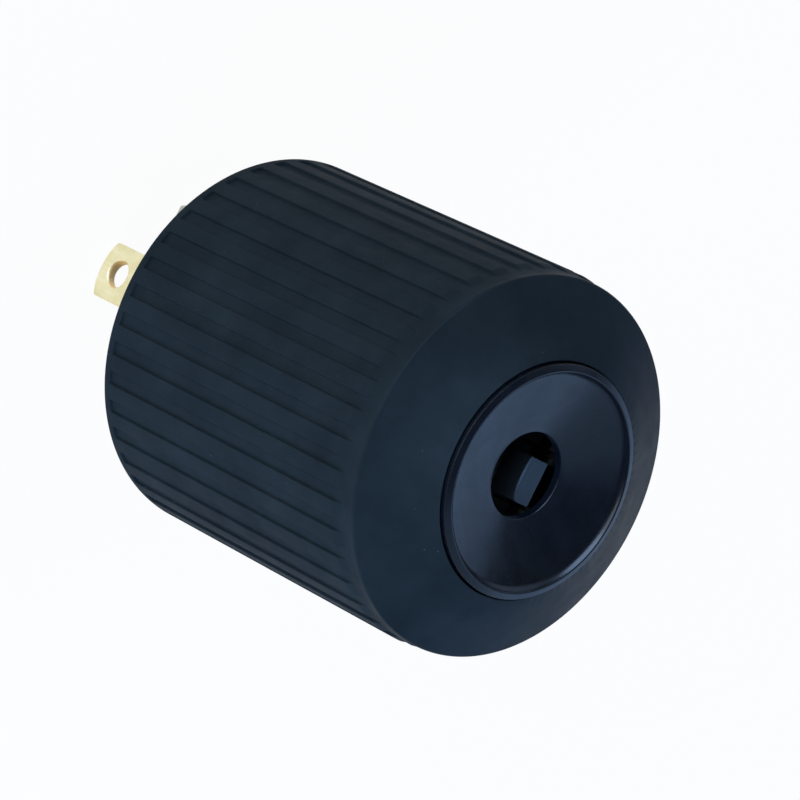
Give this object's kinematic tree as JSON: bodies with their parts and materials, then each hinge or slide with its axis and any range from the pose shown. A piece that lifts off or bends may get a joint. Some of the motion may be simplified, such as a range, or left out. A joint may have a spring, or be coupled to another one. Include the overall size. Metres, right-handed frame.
{
  "type": "locking power plug",
  "caption": "Cylindrical locking power plug with a finger-ribbed cover, a dished ring round the cord bore and curved brass blades on one circle.",
  "frame": {"origin": "centre of the circle of blades, in the plane of the blades' tips", "axes": "+Z along the plug's axis from the blades' tips to the cord end; the plug stands on its blade tips; the ground blade is on +X, the neutral blade on -X and the line blades on +Y and -Y"},
  "size_m": [0.054, 0.054, 0.0822],
  "materials": {
    "cover_nylon": "satin moulded black nylon with a faint blue tint",
    "ring_nylon": "smoother black nylon",
    "insulator": "dull dark thermoset",
    "blade_brass": "pale satin brass strip",
    "plated_steel": "zinc-plated steel",
    "screw_brass": "turned brass",
    "green_screw": "green-dyed plated steel"
  },
  "bodies": {
    "root": {"cover": "cover_nylon", "cord_ring": "ring_nylon", "blade_carrier": "insulator", "terminal_block": "insulator", "line_blade_x": "blade_brass", "line_blade_y": "blade_brass", "neutral_blade": "blade_brass", "ground_blade": "blade_brass", "wire_clamp_x": "plated_steel", "wire_clamp_y": "plated_steel", "wire_clamp_neutral": "plated_steel", "wire_clamp_ground": "plated_steel", "terminal_screw_x": "screw_brass", "terminal_screw_y": "screw_brass", "terminal_screw_neutral": "plated_steel", "terminal_screw_ground": "green_screw", "clamp_jaw": "ring_nylon", "clamp_screw": "plated_steel", "clamp_nut": "plated_steel", "cover_screws": "plated_steel", "core_screws": "plated_steel"}
  },
  "joints": []
}
